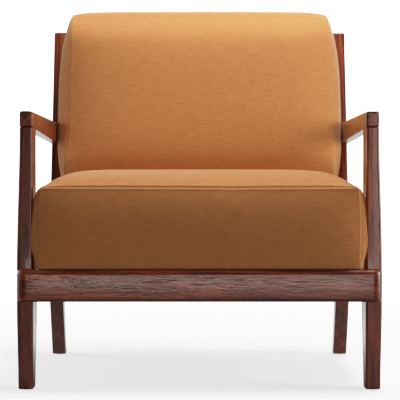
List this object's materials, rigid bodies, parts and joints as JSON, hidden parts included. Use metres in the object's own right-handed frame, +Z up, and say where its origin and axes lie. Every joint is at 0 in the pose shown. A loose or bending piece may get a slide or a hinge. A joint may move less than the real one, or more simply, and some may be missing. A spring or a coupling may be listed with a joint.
{
  "type": "wooden armchair",
  "caption": "Low-backed wooden easy chair: shaped legs, flat arms, a broad lapped front rail, and loose boxed seat and back cushions in woven cloth.",
  "frame": {"origin": "on the floor, under the middle of the chair's outer box", "axes": "+Z up, -Y towards the front of the chair, +X towards the sitter's left"},
  "size_m": [0.728, 0.7904, 0.81],
  "materials": {
    "lacquered_wood": "dark reddish-brown hardwood, glossy clear lacquer",
    "plain_wood": "unfinished pale hardwood",
    "seat_cloth": "camel woollen cloth, fine woven rib",
    "back_cloth": "camel woollen cloth, fine woven rib",
    "webbing": "elastic rubber and textile webbing",
    "clip_steel": "plated sheet steel",
    "bolt_steel": "plated steel, slightly dulled",
    "glide_steel": "polished steel"
  },
  "bodies": {
    "frame": {"arm_bolt_left": "bolt_steel", "arm_bolt_right": "bolt_steel", "arm_dowel_left_1": "plain_wood", "arm_dowel_left_2": "plain_wood", "arm_dowel_right_1": "plain_wood", "arm_dowel_right_2": "plain_wood", "arm_left": "lacquered_wood", "arm_right": "lacquered_wood", "back_lower_rail": "lacquered_wood", "back_slat_1": "lacquered_wood", "back_slat_2": "lacquered_wood", "back_slat_3": "lacquered_wood", "back_slat_4": "lacquered_wood", "back_slat_5": "lacquered_wood", "back_slat_6": "lacquered_wood", "back_slat_7": "lacquered_wood", "back_top_rail": "lacquered_wood", "front_corner_block_left": "plain_wood", "front_corner_block_right": "plain_wood", "front_glide_left": "glide_steel", "front_glide_right": "glide_steel", "front_leg_left": "lacquered_wood", "front_leg_right": "lacquered_wood", "front_rail": "lacquered_wood", "front_rail_dowel_left_1": "plain_wood", "front_rail_dowel_left_2": "plain_wood", "front_rail_dowel_right_1": "plain_wood", "front_rail_dowel_right_2": "plain_wood", "rear_corner_block_left": "plain_wood", "rear_corner_block_right": "plain_wood", "rear_glide_left": "glide_steel", "rear_glide_right": "glide_steel", "rear_leg_left": "lacquered_wood", "rear_leg_right": "lacquered_wood", "rear_rail": "lacquered_wood", "seat_strap_1": "webbing", "seat_strap_2": "webbing", "seat_strap_3": "webbing", "seat_strap_4": "webbing", "seat_strap_5": "webbing", "seat_strap_6": "webbing", "side_rail_left": "lacquered_wood", "side_rail_right": "lacquered_wood", "strap_clip_left_1": "clip_steel", "strap_clip_left_2": "clip_steel", "strap_clip_left_3": "clip_steel", "strap_clip_left_4": "clip_steel", "strap_clip_left_5": "clip_steel", "strap_clip_left_6": "clip_steel", "strap_clip_right_1": "clip_steel", "strap_clip_right_2": "clip_steel", "strap_clip_right_3": "clip_steel", "strap_clip_right_4": "clip_steel", "strap_clip_right_5": "clip_steel", "strap_clip_right_6": "clip_steel"},
    "seat_cushion": {"seat_cushion": "seat_cloth"},
    "back_cushion": {"back_cushion": "back_cloth"}
  },
  "joints": [
    {"name": "seat_cushion_slide", "type": "slide", "parent": "frame", "child": "seat_cushion", "axis": [0, -0.9962, 0.0872], "range_m": [0, 0.62]},
    {"name": "back_cushion_lift", "type": "slide", "parent": "frame", "child": "back_cushion", "axis": [0, 0.3057, 0.9521], "range_m": [0, 0.45]}
  ]
}
